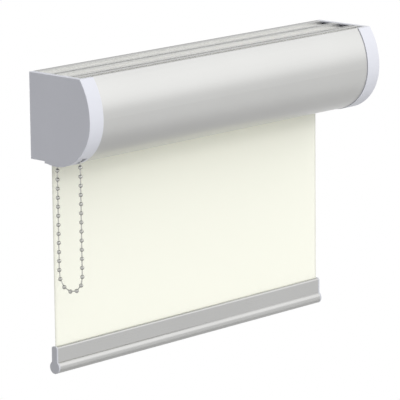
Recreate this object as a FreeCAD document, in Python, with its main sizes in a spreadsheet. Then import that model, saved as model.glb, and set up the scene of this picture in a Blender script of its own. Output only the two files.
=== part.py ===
import FreeCAD, Part
import math
import os
import re

import Sketcher

# Cassette roller blind. The origin lies on the wall plane, in the middle of the row of wall screws.
# X runs along the roller, the room is towards -Y and Z points up. All sizes are millimetres.

os.makedirs("parts", exist_ok=True)
doc = FreeCAD.newDocument("cassette_roller_blind")

SIZES = {
    # The cassette as a whole, seen from its end
    "blind_width": 447.0,
    "nose_reach": 87.5,
    "upper_radius": 72.0,
    "lower_radius": 51.5,
    "heel_drop": 92.7,
    "heel_step": 2.2,
    "heel_rise": 1.5,
    "heel_flat": 3.66,
    # Holes for the wall screws
    "screw_drop": 20.0,
    "wall_hole_spacing": 300.0,
    "wall_hole_radius": 2.6,
    # Moulded end caps
    "cap_wall": 2.0,
    "cap_skin": 2.0,
    "cap_rim": 19.3,
    "cap_flange": 6.0,
    "flange_skin": 1.0,
    "cap_edge_radius": 0.6,
    "tongue_reach": 8.0,
    "tongue_wall": 1.5,
    "tongue_clearance": 0.15,
    "tongue_top": 12.0,
    "peg_radius": 2.5,
    "peg_clearance": 0.1,
    # Mounting profile, from the wall to the front
    "rear_wall": 1.8,
    "top_wall": 1.5,
    "channel_depth": 3.0,
    "rear_land": 8.5,
    "clip_channel": 17.1,
    "rear_port_land": 8.8,
    "front_port_block": 7.4,
    "front_land": 3.79,
    "front_groove": 4.5,
    "port_radius": 2.0,
    "port_slot": 2.6,
    "port_drop": 5.5,
    "port_wall": 1.5,
    "lip_drop": 8.0,
    "foot_reach": 5.5,
    "foot_height": 1.5,
    "end_gap": 0.1,
    # Fascia
    "fascia_inset": 0.8,
    "fascia_wall": 1.5,
    "fascia_gap": 0.5,
    "fascia_edge_reach": 50.0,
    "fascia_edge_lip": 4.5,
    "hook_wall": 1.3,
    "seam_gap": 0.3,
    # End brackets and their screws
    "bracket_plate": 2.0,
    "bracket_clearance": 0.3,
    "bracket_foot_gap": 6.5,
    "screw_head_radius": 3.4,
    "screw_head_height": 1.8,
    "screw_length": 14.0,
    "screw_clearance": 0.1,
    # Roller, its axis measured from the middle of the space inside
    "axis_shift": 0.2,
    "axis_sink": 0.85,
    "tube_radius": 30.0,
    "tube_wall": 1.5,
    "tube_start": 19.1,
    "key_width": 6.5,
    "key_depth": 5.4,
    "key_wall": 1.3,
    "key_mouth": 2.4,
    "key_lip": 1.6,
    "fit_gap": 0.1,
    "running_gap": 0.06,
    # Cloth
    "cloth": 0.45,
    "cloth_margin": 0.65,
    "cloth_wound": 1230.0,
    "cloth_gap": 0.3,
    "bar_drop": 290.9,
    # Ball chain and its wheel
    "chain_depth": 11.5,
    "ball_radius": 2.2,
    "ball_pitch": 9.5,
    "link_radius": 0.6,
    "wheel_pockets": 11,
    "strand_pitches": 17,
    "chain_phase": 0.853,
    "pocket_clearance": 0.35,
    "wheel_width": 7.0,
    "wheel_rim": 0.4,
    "wheel_groove_width": 2.0,
    "guard_wall": 1.5,
    "guard_clearance": 1.0,
    "guard_foot_gap": 1.55,
    "slot_width": 6.4,
    "slot_length": 14.0,
    # Clutch
    "lug_size": 14.0,
    "clutch_flange": 1.6,
    "core_radius": 9.0,
    "core_bore": 4.5,
    "core_tail": 3.4,
    "sleeve_radius": 12.5,
    "sleeve_length": 9.0,
    "side_gap": 0.3,
    "wrap_wire": 1.2,
    "wrap_turns": 8,
    "clip_depth": 1.4,
    "clip_width": 1.0,
    "clip_mouth": 9.0,
    # Plugs in the tube's two ends
    "plug_length": 34.0,
    "plug_flange": 1.6,
    "plug_flange_reach": 1.4,
    "plug_wall": 2.2,
    "plug_web": 2.5,
    "plug_ribs": 4,
    # Idler pin and its spring
    "pin_radius": 4.0,
    "pin_collar": 2.0,
    "pin_travel": 7.0,
    "chamber_radius": 7.2,
    "hub_wall": 2.8,
    "pin_wire": 1.0,
    "pin_spring_turns": 8,
    "seat_plate": 2.0,
    "bush_wall": 2.0,
    "bush_flange": 1.2,
    # Bottom bar
    "bar_thickness": 7.5,
    "bar_bulb_radius": 6.8,
    "bar_bulb_drop": 22.4,
    "bar_wall": 1.3,
    "bar_corner": 2.4,
    "bar_mouth": 1.6,
    "bar_cavity": 12.8,
    "bar_cap": 2.0,
    "bar_spigot": 6.0,
    "strip_height": 8.0,
    "strip_slot_clearance": 0.1,
}

PLACES = {
    "half_width": "blind_width / 2",
    "top": "screw_drop",
    # The heel stands a little above the lowest line of the lower arc, so the nose follows from both.
    "nose_drop": "heel_drop - lower_radius + heel_rise",
    "nose_level": "top - nose_drop",
    "lowest_level": "nose_level - lower_radius",
    "upper_centre": "nose_reach - upper_radius",
    "lower_centre": "nose_reach - lower_radius",
    "heel_level": "top - heel_drop",
    "bottom_level": "heel_level + heel_step",
    "heel_reach": "lower_centre - sqrt(lower_radius^2 - (nose_level - heel_level)^2) - heel_flat",
    "axis_reach": "(rear_wall + nose_reach - fascia_inset - fascia_wall) / 2 + axis_shift",
    "axis_level": "top - heel_drop / 2 - axis_sink",
    # Depths are measured from the outer face of the end cap towards the middle of the blind.
    "profile_start": "cap_flange + end_gap",
    "bracket_start": "profile_start - bracket_plate",
    "fascia_start": "cap_rim + fascia_gap",
    "cloth_start": "tube_start + cloth_margin",
    # Fascia, where its inner face meets the top, and the hook that hangs on the profile's lip
    "fascia_inner_upper": "upper_radius - fascia_inset - fascia_wall",
    "fascia_inner_lower": "lower_radius - fascia_inset - fascia_wall",
    "profile_front": "upper_centre + sqrt(fascia_inner_upper^2 - nose_drop^2) - seam_gap",
    "lip_rear": "profile_front - top_wall",
    "hook_front": "lip_rear - seam_gap",
    "hook_rear": "hook_front - hook_wall",
    "hook_level": "top - lip_drop - seam_gap",
    # Steps of the mounting profile's top, as distances from the wall. The rear ones are counted from
    # the wall and the front ones from the fascia, and the middle channel takes what lies between.
    "channel_front": "rear_land + clip_channel",
    "rear_port": "channel_front + rear_port_land / 2",
    "middle_rear": "channel_front + rear_port_land",
    "groove_rear": "lip_rear - front_groove",
    "block_front": "groove_rear - front_land",
    "middle_front": "block_front - front_port_block",
    "front_port": "middle_front + front_port_block / 2",
    "port_level": "top - port_drop",
    "port_bottom": "port_level - port_radius - port_wall",
    "channel_floor": "top - channel_depth",
    "channel_underside": "channel_floor - top_wall",
    "tongue_offset": "fascia_inset + fascia_wall + tongue_clearance",
    "bracket_offset": "tongue_offset + tongue_wall + bracket_clearance",
    "bracket_top": "top - cap_skin - bracket_clearance",
    "bracket_back": "cap_skin + bracket_clearance",
    # Cloth, wound on the tube and hanging behind the roll
    "roll_radius": "sqrt(tube_radius^2 + cloth_wound * cloth / pi)",
    "cloth_plane": "axis_reach - roll_radius - cloth_gap - cloth / 2",
    "bar_top": "top - bar_drop",
    "bulb_level": "bar_top - bar_bulb_drop",
    # Chain wheel and clutch
    "pitch_radius": "ball_pitch / (2 * sin(180 deg / wheel_pockets))",
    "wheel_start": "chain_depth - wheel_width / 2",
    "wheel_end": "chain_depth + wheel_width / 2",
    "wheel_radius": "pitch_radius + wheel_rim",
    "guard_radius": "pitch_radius + ball_radius + guard_clearance",
    "guard_end": "wheel_end + side_gap + guard_wall",
    # The guard's legs end where their front corner comes near the rib inside the cap's rim.
    "guard_front": "axis_reach + guard_radius + guard_wall - lower_centre",
    "guard_foot_radius": "lower_radius - tongue_offset - tongue_wall - guard_foot_gap",
    "guard_tail": "axis_level - nose_level + sqrt(guard_foot_radius^2 - guard_front^2)",
    "clutch_flange_radius": "guard_radius - side_gap",
    "sleeve_end": "wheel_end + sleeve_length",
    "plug_flange_start": "tube_start - plug_flange",
    "plug_end": "tube_start + plug_length",
    "plug_radius": "tube_radius - tube_wall - fit_gap",
    "plug_flange_radius": "tube_radius + plug_flange_reach",
    "key_floor": "tube_radius - key_depth",
    "clip_start": "plug_end + side_gap",
    "clip_groove_end": "clip_start + clip_width + side_gap",
    "core_end": "clip_groove_end + core_tail",
    # Idler pin
    "chamber_start": "plug_flange_start + plug_web + plug_flange",
    "collar_start": "chamber_start + side_gap",
    "collar_end": "collar_start + pin_collar",
    "seat_start": "plug_end - seat_plate",
    "pin_tail": "seat_start - side_gap - pin_travel - collar_end",
    "bush_radius": "pin_radius + bush_wall",
    "pin_tip": "bracket_start",
}


def make_sheet(name, cells):
    """A sheet with one row for each size: its name in column A, its value in column B."""
    sheet = doc.addObject("Spreadsheet::Sheet", name)
    for row, (alias, content) in enumerate(cells.items(), start=1):
        sheet.set(f"A{row}", alias)
        sheet.setAlias(f"B{row}", alias)
        sheet.set(f"B{row}", content)
    return sheet


SHEET_OF = {alias: "Sizes." for alias in SIZES} | {alias: "Places." for alias in PLACES}


def linked(formula):
    """The formula with the name of its sheet before each size that it uses."""
    return re.sub("[a-z_]+", lambda word: SHEET_OF.get(word[0], "") + word[0], formula)


make_sheet("Sizes", {alias: str(number) for alias, number in SIZES.items()})
places = make_sheet("Places", {alias: "=" + linked(formula) for alias, formula in PLACES.items()})
doc.recompute()


def value(formula):
    """What a formula comes to, as a plain number."""
    return float(places.evalExpression(linked(formula)))


LEFT = "left"
RIGHT = "right"


def at_end(side, depth):
    """X of a place at this depth from the outer face of the left or the right end cap."""
    return f"-half_width + ({depth})" if side == LEFT else f"half_width - ({depth})"


def between(side, near, far):
    """The X range between two depths from an end cap's outer face, lower end first."""
    ends = [at_end(side, near), at_end(side, far)]
    return ends if side == LEFT else ends[::-1]


# Sketches. An outline is a list of corners. Between two corners stands either nothing, for a
# straight edge, or an arc as (radius, centre, "left" or "right"), the way that it turns.


def make_body(label, on_axis=False):
    body = doc.addObject("PartDesign::Body", label)
    body.Label = label
    if on_axis:
        body.setExpression("Placement.Base.y", linked("-axis_reach"))
        body.setExpression("Placement.Base.z", linked("axis_level"))
    return body


def make_sketch(body, name, role, offset):
    plane = next(item for item in body.Origin.OriginFeatures if item.Role == role)
    sketch = body.newObject("Sketcher::SketchObject", name)
    sketch.AttachmentSupport = (plane, [""])
    sketch.MapMode = "FlatFace"
    sketch.setExpression("AttachmentOffset.Base.z", linked(offset))
    return sketch


def draw_circle(sketch, centre, radius):
    middle = FreeCAD.Vector(value(centre[0]), value(centre[1]), 0)
    edge = sketch.addGeometry(Part.Circle(middle, FreeCAD.Vector(0, 0, 1), value(radius)))
    rules = [
        ("DistanceX", (-1, 1, edge, 3), centre[0]),
        ("DistanceY", (-1, 1, edge, 3), centre[1]),
        ("Radius", (edge,), radius),
    ]
    hold(sketch, rules)


def hold(sketch, rules):
    """Constrains the sketch and binds each constraint to its formula."""
    constraints = [Sketcher.Constraint(kind, *where, value(formula)) for kind, where, formula in rules]
    first = sketch.ConstraintCount
    sketch.addConstraint(constraints)
    for number, (_, _, formula) in enumerate(rules, start=first):
        sketch.setExpression(f"Constraints[{number}]", linked(formula))


def draw_outline(sketch, outline):
    corners = [item for item in outline if len(item) == 2]
    edges = []
    for place, item in enumerate(outline):
        if len(item) == 3:
            continue
        after = outline[(place + 1) % len(outline)]
        arc = after if len(after) == 3 else None
        following = corners[(len(edges) + 1) % len(corners)]
        start, end = [FreeCAD.Vector(value(u), value(v), 0) for u, v in (item, following)]
        if arc is None:
            number = sketch.addGeometry(Part.LineSegment(start, end))
            edges.append((number, 1, 2, None))
            continue
        radius, centre, turn = arc
        middle = FreeCAD.Vector(value(centre[0]), value(centre[1]), 0)
        circle = Part.Circle(middle, FreeCAD.Vector(0, 0, 1), value(radius))
        first, last = [math.atan2(p.y - middle.y, p.x - middle.x) for p in (start, end)]
        if turn == "right":
            first, last = last, first
        number = sketch.addGeometry(Part.ArcOfCircle(circle, first, last))
        ends = (1, 2) if turn == "left" else (2, 1)
        wide = abs(end.x - start.x) > abs(end.y - start.y)
        rule = ("DistanceY", centre[1]) if wide else ("DistanceX", centre[0])
        edges.append((number, *ends, rule))
    joins = []
    rules = []
    for place, (number, start, _, centre_rule) in enumerate(edges):
        before, _, before_end, _ = edges[place - 1]
        joins.append(Sketcher.Constraint("Coincident", before, before_end, number, start))
        rules.append(("DistanceX", (-1, 1, number, start), corners[place][0]))
        rules.append(("DistanceY", (-1, 1, number, start), corners[place][1]))
        if centre_rule is not None:
            kind, formula = centre_rule
            rules.append((kind, (-1, 1, number, 3), formula))
    sketch.addConstraint(joins)
    hold(sketch, rules)


def draw(sketch, outlines):
    for outline in outlines:
        if outline[0] == "circle":
            draw_circle(sketch, *outline[1:])
        else:
            draw_outline(sketch, outline)
    if sketch.solve() != 0:
        raise RuntimeError(f"{sketch.Label} could not be solved")


def extrude(body, name, outlines, start, end, cut=False):
    """Adds or cuts a section that runs along X from start to end."""
    section = make_sketch(body, name + "_section", "YZ_Plane", start)
    draw(section, outlines)
    feature = body.newObject("PartDesign::Pocket" if cut else "PartDesign::Pad", name)
    feature.Profile = section
    feature.Reversed = cut
    feature.setExpression("Length", linked(f"({end}) - ({start})"))
    return feature


def cut_down(body, name, outlines, level, depth):
    """Cuts a plan shape downwards from a level."""
    plan = make_sketch(body, name + "_plan", "XY_Plane", level)
    draw(plan, outlines)
    feature = body.newObject("PartDesign::Pocket", name)
    feature.Profile = plan
    feature.setExpression("Length", linked(depth))
    return feature


def cut_from_wall(body, name, outlines, depth):
    """Cuts a front view shape from the wall plane towards the room."""
    view = make_sketch(body, name + "_view", "XZ_Plane", "0")
    draw(view, outlines)
    feature = body.newObject("PartDesign::Pocket", name)
    feature.Profile = view
    feature.Reversed = True
    feature.setExpression("Length", linked(depth))
    return feature


def turn(body, name, outline):
    """Turns a half section, given as X and radius, about the roller's axis."""
    section = make_sketch(body, name + "_section", "XZ_Plane", "0")
    draw(section, [outline])
    feature = body.newObject("PartDesign::Revolution", name)
    feature.Profile = section
    feature.ReferenceAxis = (section, ["H_Axis"])
    feature.Angle = 360
    return feature


def rectangle(low, high):
    return [(low[0], low[1]), (high[0], low[1]), (high[0], high[1]), (low[0], high[1])]


def front_at(centre, radius, level):
    """Y of the front of an arc about a centre at nose level, at this level."""
    return f"-({centre}) - sqrt(({radius})^2 - (nose_level - ({level}))^2)"


def below_at(radius, reach):
    """Z of the underside of the lower arc, at this distance from the wall."""
    return f"nose_level - sqrt(({radius})^2 - (({reach}) - lower_centre)^2)"


UPPER_CENTRE = ("-upper_centre", "nose_level")
LOWER_CENTRE = ("-lower_centre", "nose_level")


# End caps. Each is one moulding: a flat outer wall, a deep rim round the front and the bottom
# that the fascia runs up to, and a shallow flange on the top and the back.


def cap_outline(offset):
    heel = f"-lower_centre + sqrt((lower_radius - {offset})^2 - (nose_level - heel_level - {offset})^2)"
    return [
        (f"-({offset})", f"top - {offset}"),
        (front_at("upper_centre", f"upper_radius - {offset}", f"top - {offset}"), f"top - {offset}"),
        (f"upper_radius - {offset}", UPPER_CENTRE, "left"),
        (f"-nose_reach + {offset}", "nose_level"),
        (f"lower_radius - {offset}", LOWER_CENTRE, "left"),
        (heel, f"heel_level + {offset}"),
        (f"-heel_reach - {offset}", f"heel_level + {offset}"),
        (f"-heel_reach - {offset}", f"bottom_level + {offset}"),
        (f"-({offset})", f"bottom_level + {offset}"),
    ]


def tongue_outline(offset):
    """A strip behind the cap's front rim, from below its top corner to behind its lower edge."""
    inner = "tongue_offset + tongue_wall"
    start = "top - tongue_top"
    end = "fascia_edge_reach + fascia_wall + tongue_wall"
    return [
        (front_at("upper_centre", f"upper_radius - ({offset})", start), start),
        (f"upper_radius - ({offset})", UPPER_CENTRE, "left"),
        (f"-nose_reach + {offset}", "nose_level"),
        (f"lower_radius - ({offset})", LOWER_CENTRE, "left"),
        (f"-({end})", below_at(f"lower_radius - ({offset})", end)),
        (f"-({end})", below_at(f"lower_radius - ({inner})", end)),
        (f"lower_radius - ({inner})", LOWER_CENTRE, "right"),
        (f"-nose_reach + {inner}", "nose_level"),
        (f"upper_radius - ({inner})", UPPER_CENTRE, "right"),
        (front_at("upper_centre", f"upper_radius - ({inner})", start), start),
    ]


def round_outer_edges(body, side):
    """Rounds the edges of the cap's outer face."""
    outer = value(at_end(side, "0"))
    block = body.Tip
    edges = []
    for number, edge in enumerate(block.Shape.Edges, start=1):
        box = edge.BoundBox
        if abs(box.XMin - outer) < 0.001 and abs(box.XMax - outer) < 0.001:
            edges.append(f"Edge{number}")
    feature = body.newObject("PartDesign::Fillet", "rounded_edge")
    feature.Base = (block, edges)
    feature.setExpression("Radius", linked("cap_edge_radius"))


PEGS = [
    ("-rear_land - rear_wall", "axis_level - roll_radius / 2"),
    ("-middle_front", "port_bottom - peg_radius * 2"),
]


def make_end_cap(side):
    cap = make_body(f"end_cap_{side}")
    extrude(cap, "block", [cap_outline("0")], *between(side, "0", "cap_rim"))
    doc.recompute()
    round_outer_edges(cap, side)
    extrude(cap, "hollow", [cap_outline("cap_skin")], *between(side, "cap_wall", "cap_rim"), cut=True)
    step = [
        ("cap_wall", "top + cap_wall"),
        ("-profile_front", "top + cap_wall"),
        ("-profile_front", "top - cap_skin"),
        ("-cap_skin", "top - cap_skin"),
        ("-cap_skin", "bottom_level + cap_skin"),
        ("cap_wall", "bottom_level + cap_skin"),
    ]
    extrude(cap, "flange_step", [step], *between(side, "cap_flange", "cap_rim"), cut=True)
    reliefs = [
        rectangle(("-channel_front", "channel_floor"), ("-rear_land", "top - flange_skin")),
        rectangle(("-middle_front", "channel_floor"), ("-middle_rear", "top - flange_skin")),
    ]
    extrude(cap, "channel_reliefs", reliefs, *between(side, "cap_wall", "cap_flange"), cut=True)
    extrude(cap, "rim_rib", [tongue_outline("cap_skin")], *between(side, "cap_wall", "cap_rim"))
    reach = between(side, "cap_wall", "cap_rim + tongue_reach")
    extrude(cap, "tongue", [tongue_outline("tongue_offset")], *reach)
    for number, peg in enumerate(PEGS):
        circle = ("circle", peg, "peg_radius")
        extrude(cap, f"peg_{number}", [circle], *between(side, "cap_wall", "profile_start"))
    if side == LEFT:
        low = at_end(side, "chain_depth - slot_width / 2")
        high = at_end(side, "chain_depth + slot_width / 2")
        slots = []
        for middle in ("-axis_reach - pitch_radius", "-axis_reach + pitch_radius"):
            slots.append(rectangle((low, f"{middle} - slot_length / 2"), (high, f"{middle} + slot_length / 2")))
        start = "axis_level - guard_tail"
        cut_down(cap, "chain_slots", slots, start, f"{start} - lowest_level + cap_skin")
    return cap


# Mounting profile. One aluminium extrusion makes the top and the rear wall. Clips hold it in the
# two wide channels, and the screws of the end brackets run into the two ports.


def port_corners(middle):
    """The slot and the bore of a screw port, met on the way along the top to the front."""
    shoulder = "port_level + sqrt(port_radius^2 - (port_slot / 2)^2)"
    return [
        (f"-{middle} + port_slot / 2", "top"),
        (f"-{middle} + port_slot / 2", shoulder),
        ("port_radius", (f"-{middle}", "port_level"), "right"),
        (f"-{middle} - port_slot / 2", shoulder),
        (f"-{middle} - port_slot / 2", "top"),
    ]


def make_mounting_profile():
    profile = make_body("mounting_profile")
    section = [
        ("0", "top"),
        ("-rear_land", "top"),
        ("-rear_land", "channel_floor"),
        ("-channel_front", "channel_floor"),
        ("-channel_front", "top"),
        *port_corners("rear_port"),
        ("-middle_rear", "top"),
        ("-middle_rear", "channel_floor"),
        ("-middle_front", "channel_floor"),
        ("-middle_front", "top"),
        *port_corners("front_port"),
        ("-groove_rear", "top"),
        ("-groove_rear", "channel_floor"),
        ("-lip_rear", "channel_floor"),
        ("-lip_rear", "top"),
        ("-profile_front", "top"),
        ("-profile_front", "top - lip_drop"),
        ("-lip_rear", "top - lip_drop"),
        ("-lip_rear", "channel_underside"),
        ("-groove_rear + top_wall", "channel_underside"),
        ("-groove_rear + top_wall", "top - top_wall"),
        ("-block_front", "top - top_wall"),
        ("-block_front", "port_bottom"),
        ("-middle_front", "port_bottom"),
        ("-middle_front", "channel_underside"),
        ("-middle_rear", "channel_underside"),
        ("-middle_rear", "port_bottom"),
        ("-channel_front", "port_bottom"),
        ("-channel_front", "channel_underside"),
        ("-rear_land + top_wall", "channel_underside"),
        ("-rear_land + top_wall", "top - top_wall"),
        ("-rear_wall", "top - top_wall"),
        ("-rear_wall", "bottom_level + cap_skin + seam_gap + foot_height"),
        ("-foot_reach", "bottom_level + cap_skin + seam_gap + foot_height"),
        ("-foot_reach", "bottom_level + cap_skin + seam_gap"),
        ("0", "bottom_level + cap_skin + seam_gap"),
    ]
    extrude(profile, "extrusion", [section], at_end(LEFT, "profile_start"), at_end(RIGHT, "profile_start"))
    holes = []
    for sign in ("-", "+"):
        holes.append(("circle", (f"{sign}wall_hole_spacing / 2", "0"), "wall_hole_radius"))
    cut_from_wall(profile, "wall_screw_holes", holes, "rear_wall")
    return profile


# Fascia. A thin curved extrusion hooks over the profile's front lip and rests on the two tongues.


def make_fascia():
    fascia = make_body("fascia")
    outer_upper = "upper_radius - fascia_inset"
    outer_lower = "lower_radius - fascia_inset"
    edge = "fascia_edge_reach"
    lip = f"{edge} + fascia_wall"
    lip_top = below_at(outer_lower, edge) + " + fascia_edge_lip"
    section = [
        (front_at("upper_centre", outer_upper, "top"), "top"),
        (outer_upper, UPPER_CENTRE, "left"),
        ("-nose_reach + fascia_inset", "nose_level"),
        (outer_lower, LOWER_CENTRE, "left"),
        (f"-{edge}", below_at(outer_lower, edge)),
        (f"-{edge}", lip_top),
        (f"-({lip})", lip_top),
        (f"-({lip})", below_at("fascia_inner_lower", lip)),
        ("fascia_inner_lower", LOWER_CENTRE, "right"),
        ("-nose_reach + fascia_inset + fascia_wall", "nose_level"),
        ("fascia_inner_upper", UPPER_CENTRE, "right"),
        (front_at("upper_centre", "fascia_inner_upper", "hook_level - hook_wall"), "hook_level - hook_wall"),
        ("-hook_rear", "hook_level - hook_wall"),
        ("-hook_rear", "channel_underside - seam_gap"),
        ("-hook_front", "channel_underside - seam_gap"),
        ("-hook_front", "hook_level"),
        (front_at("upper_centre", "fascia_inner_upper", "hook_level"), "hook_level"),
        ("fascia_inner_upper", UPPER_CENTRE, "right"),
        (front_at("upper_centre", "fascia_inner_upper", "top"), "top"),
    ]
    extrude(fascia, "extrusion", [section], at_end(LEFT, "fascia_start"), at_end(RIGHT, "fascia_start"))
    return fascia


# End brackets. Steel plates, screwed into the profile's ports, carry the roller and the end caps.

PORTS = ["rear_port", "front_port"]


def make_bracket(side):
    bracket = make_body(f"bracket_{side}")
    radius = "upper_radius - bracket_offset"
    shoulder = "channel_underside - bracket_clearance"
    plate = [
        ("-bracket_back", shoulder),
        ("-channel_front", shoulder),
        ("-channel_front", "bracket_top"),
        ("-middle_rear", "bracket_top"),
        ("-middle_rear", shoulder),
        ("-middle_front", shoulder),
        ("-middle_front", "bracket_top"),
        ("-block_front", "bracket_top"),
        ("-block_front", shoulder),
        (front_at("upper_centre", radius, shoulder), shoulder),
        (radius, UPPER_CENTRE, "left"),
        ("-nose_reach + bracket_offset", "nose_level"),
        ("lower_radius - bracket_offset", LOWER_CENTRE, "left"),
        ("-lower_centre", "lowest_level + bracket_offset"),
        ("-bracket_back", "bottom_level + bracket_foot_gap"),
    ]
    holes = [("circle", (f"-{port}", "port_level"), "port_radius + screw_clearance") for port in PORTS]
    holes += [("circle", peg, "peg_radius + peg_clearance") for peg in PEGS]
    if side == LEFT:
        lug = "(lug_size / 2 + fit_gap)"
        low = (f"-axis_reach - {lug}", f"axis_level - {lug}")
        high = (f"-axis_reach + {lug}", f"axis_level + {lug}")
        holes.append(rectangle(low, high))
    else:
        holes.append(("circle", ("-axis_reach", "axis_level"), "bush_radius + fit_gap"))
    extrude(bracket, "plate", [plate, *holes], *between(side, "bracket_start", "profile_start"))
    return bracket


def make_rod(name, start, end, radius, reach, level):
    """A plain cylinder along X."""
    rod = doc.addObject("Part::Cylinder", name)
    rod.Placement.Rotation = FreeCAD.Rotation(FreeCAD.Vector(0, 1, 0), 90)
    rod.setExpression("Radius", linked(radius))
    rod.setExpression("Height", linked(f"({end}) - ({start})"))
    for axis, formula in zip("xyz", (start, reach, level)):
        rod.setExpression(f"Placement.Base.{axis}", linked(formula))
    return rod


def make_bracket_screws():
    screws = []
    for side in (LEFT, RIGHT):
        for port in PORTS:
            name = f"screw_{side}_{port}"
            head = between(side, "bracket_start - screw_head_height", "bracket_start")
            shank = between(side, "bracket_start", "bracket_start + screw_length")
            pieces = [
                make_rod(name + "_head", *head, "screw_head_radius", f"-{port}", "port_level"),
                make_rod(name + "_shank", *shank, "port_radius - screw_clearance", f"-{port}", "port_level"),
            ]
            screw = doc.addObject("Part::MultiFuse", name)
            screw.Shapes = pieces
            screws.append(screw)
    group = doc.addObject("Part::Compound", "bracket_screws")
    group.Links = screws
    return group


# Roller tube, with the slotted key that holds the cloth's edge


def make_tube():
    tube = make_body("tube", on_axis=True)
    ends = (at_end(LEFT, "tube_start"), at_end(RIGHT, "tube_start"))
    ring = [("circle", ("0", "0"), "tube_radius"), ("circle", ("0", "0"), "tube_radius - tube_wall")]
    extrude(tube, "round_wall", ring, *ends)
    block = rectangle(("-key_width / 2", "key_floor"), ("key_width / 2", "tube_radius - tube_wall / 2"))
    extrude(tube, "key_block", [block], *ends)
    groove = [
        ("-key_mouth / 2", "tube_radius + key_lip"),
        ("-key_mouth / 2", "tube_radius - key_lip"),
        ("-key_width / 2 + key_wall", "tube_radius - key_lip"),
        ("-key_width / 2 + key_wall", "key_floor + key_wall"),
        ("key_width / 2 - key_wall", "key_floor + key_wall"),
        ("key_width / 2 - key_wall", "tube_radius - key_lip"),
        ("key_mouth / 2", "tube_radius - key_lip"),
        ("key_mouth / 2", "tube_radius + key_lip"),
    ]
    extrude(tube, "cloth_groove", [groove], *ends, cut=True)
    return tube


def make_tube_spline():
    spline = make_body("tube_spline", on_axis=True)
    low = ("-key_width / 2 + key_wall + fit_gap", "key_floor + key_wall + fit_gap")
    high = ("key_width / 2 - key_wall - fit_gap", "tube_radius - key_lip - fit_gap")
    ends = (at_end(LEFT, "cloth_start"), at_end(RIGHT, "cloth_start"))
    extrude(spline, "strip", [rectangle(low, high)], *ends)
    return spline


def make_fabric_roll():
    roll = make_body("fabric_roll", on_axis=True)
    ring = [("circle", ("0", "0"), "roll_radius"), ("circle", ("0", "0"), "tube_radius + fit_gap")]
    extrude(roll, "wound_cloth", ring, at_end(LEFT, "cloth_start"), at_end(RIGHT, "cloth_start"))
    return roll


def cut_key_notch(plug, side):
    """The notch in a plug that the tube's key slides into."""
    low = ("-key_width / 2 - fit_gap * 2", "key_floor - fit_gap * 2")
    high = ("key_width / 2 + fit_gap * 2", "tube_radius")
    reach = between(side, "tube_start", "plug_end")
    extrude(plug, "key_notch", [rectangle(low, high)], *reach, cut=True)


def add_plug_ribs(plug, side, hub):
    """Ribs between a plug's hub and its round wall, turned so that none meets the key's notch."""
    count = round(value("plug_ribs"))
    half = "plug_wall / 2"
    near = f"({hub} - {half})"
    far = f"(plug_radius - {half})"
    reach = between(side, "tube_start + plug_web", "plug_end")
    for number in range(count):
        angle = f"({number} + 0.5) * 360 deg / plug_ribs"
        corners = []
        for radius, across in ((near, "-"), (far, "-"), (far, "+"), (near, "+")):
            along = f"{radius} * cos({angle}) - ({across}{half}) * sin({angle})"
            upwards = f"{radius} * sin({angle}) + ({across}{half}) * cos({angle})"
            corners.append((along, upwards))
        extrude(plug, f"rib_{number}", [corners], *reach)


# Chain clutch at the left end


def make_clutch_body():
    clutch = make_body("clutch_body", on_axis=True)
    flange_end = "profile_start + clutch_flange"
    section = [
        (at_end(LEFT, "profile_start"), "core_bore"),
        (at_end(LEFT, "profile_start"), "clutch_flange_radius"),
        (at_end(LEFT, flange_end), "clutch_flange_radius"),
        (at_end(LEFT, flange_end), "core_radius"),
        (at_end(LEFT, "clip_start"), "core_radius"),
        (at_end(LEFT, "clip_start"), "core_radius - clip_depth"),
        (at_end(LEFT, "clip_groove_end"), "core_radius - clip_depth"),
        (at_end(LEFT, "clip_groove_end"), "core_radius"),
        (at_end(LEFT, "core_end"), "core_radius"),
        (at_end(LEFT, "core_end"), "core_bore"),
    ]
    turn(clutch, "flange_and_core", section)
    lug = rectangle(("-lug_size / 2", "-lug_size / 2"), ("lug_size / 2", "lug_size / 2"))
    bore = ("circle", ("0", "0"), "core_bore")
    extrude(clutch, "square_lug", [lug, bore], *between(LEFT, "bracket_start", "profile_start"))
    return clutch


def make_chain_wheel():
    wheel = make_body("chain_wheel", on_axis=True)
    bore = "core_radius + running_gap"
    floor = "pitch_radius * cos(180 deg / wheel_pockets) - link_radius - side_gap"
    section = [
        (at_end(LEFT, "wheel_start"), bore),
        (at_end(LEFT, "wheel_start"), "wheel_radius"),
        (at_end(LEFT, "chain_depth - wheel_groove_width / 2"), "wheel_radius"),
        (at_end(LEFT, "chain_depth - wheel_groove_width / 2"), floor),
        (at_end(LEFT, "chain_depth + wheel_groove_width / 2"), floor),
        (at_end(LEFT, "chain_depth + wheel_groove_width / 2"), "wheel_radius"),
        (at_end(LEFT, "wheel_end"), "wheel_radius"),
        (at_end(LEFT, "wheel_end"), "sleeve_radius"),
        (at_end(LEFT, "sleeve_end"), "sleeve_radius"),
        (at_end(LEFT, "sleeve_end"), bore),
    ]
    turn(wheel, "rim_and_sleeve", section)
    # The pockets stand where the balls lie, so the first is turned from the front by the chain's phase.
    first = "(180 + (1 - chain_phase) * 360 / wheel_pockets) * 1 deg"
    pocket = wheel.newObject("PartDesign::SubtractiveSphere", "pocket")
    pocket.setExpression("Radius", linked("ball_radius + pocket_clearance"))
    pocket.setExpression("Placement.Base.x", linked(at_end(LEFT, "chain_depth")))
    pocket.setExpression("Placement.Base.y", linked(f"pitch_radius * cos({first})"))
    pocket.setExpression("Placement.Base.z", linked(f"-pitch_radius * sin({first})"))
    pattern = wheel.newObject("PartDesign::PolarPattern", "pockets")
    pattern.Originals = [pocket]
    axis = next(item for item in wheel.Origin.OriginFeatures if item.Role == "X_Axis")
    pattern.Axis = (axis, [""])
    pattern.Angle = 360
    pattern.setExpression("Occurrences", linked("wheel_pockets"))
    wheel.Tip = pattern
    return wheel


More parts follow.
